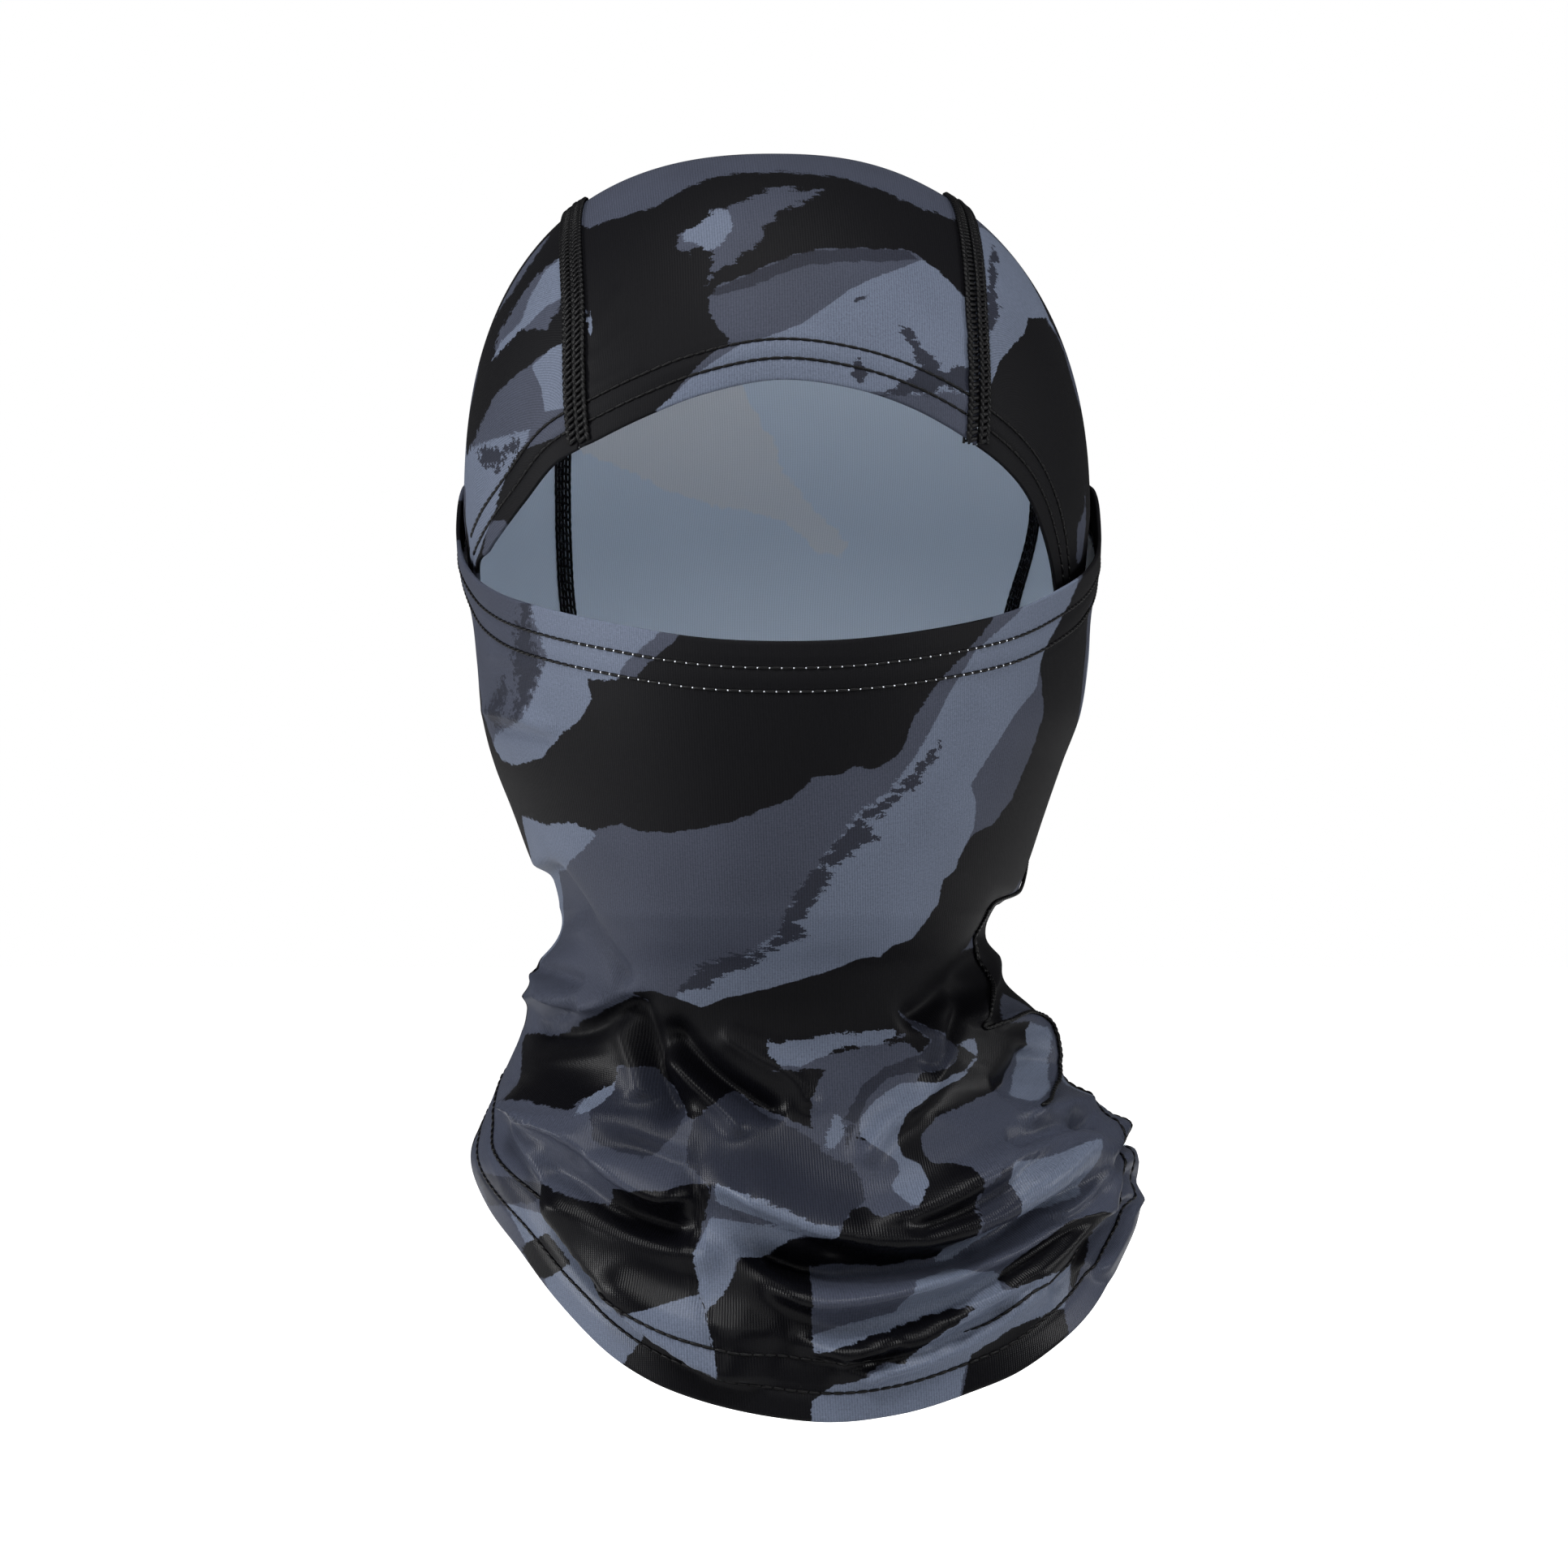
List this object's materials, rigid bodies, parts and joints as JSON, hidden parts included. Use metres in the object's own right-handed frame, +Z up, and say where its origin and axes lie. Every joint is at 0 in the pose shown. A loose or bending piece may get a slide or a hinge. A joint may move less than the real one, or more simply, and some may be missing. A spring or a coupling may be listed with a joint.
{
  "type": "hinged balaclava",
  "caption": "Stretch-knit sun balaclava with flatlocked crown seams, a wide eye opening, a pull-down nose mask and a flared neck bib.",
  "frame": {"origin": "middle of the wearer's head, on the line between the ears", "axes": "+Z up, the face looks along -Y, +X is on the right of someone facing the mask"},
  "size_m": [0.1618, 0.2128, 0.3162],
  "materials": {
    "camo_fabric": "satin knit",
    "thread": "sewing thread"
  },
  "bodies": {
    "hood": {"crown_panel": "camo_fabric", "side_panel_left": "camo_fabric", "side_panel_right": "camo_fabric", "bib": "camo_fabric", "crown_seam_left": "thread", "crown_seam_right": "thread", "side_seam_left": "thread", "side_seam_right": "thread", "brow_stitch_lower": "thread", "brow_stitch_upper": "thread", "front_hem_stitch_lower": "thread", "front_hem_stitch_upper": "thread", "back_hem_stitch_lower": "thread", "back_hem_stitch_upper": "thread", "bib_seam": "thread", "hem_join": "thread"},
    "mask": {"mask": "camo_fabric", "mask_stitch_lower": "thread", "mask_stitch_upper": "thread"}
  },
  "joints": [
    {"name": "mask_pull_down", "type": "hinge", "parent": "hood", "child": "mask", "pos_m": [0, 0.025, -0.045], "axis": [1, 0, 0], "range_deg": [0, 34]}
  ]
}
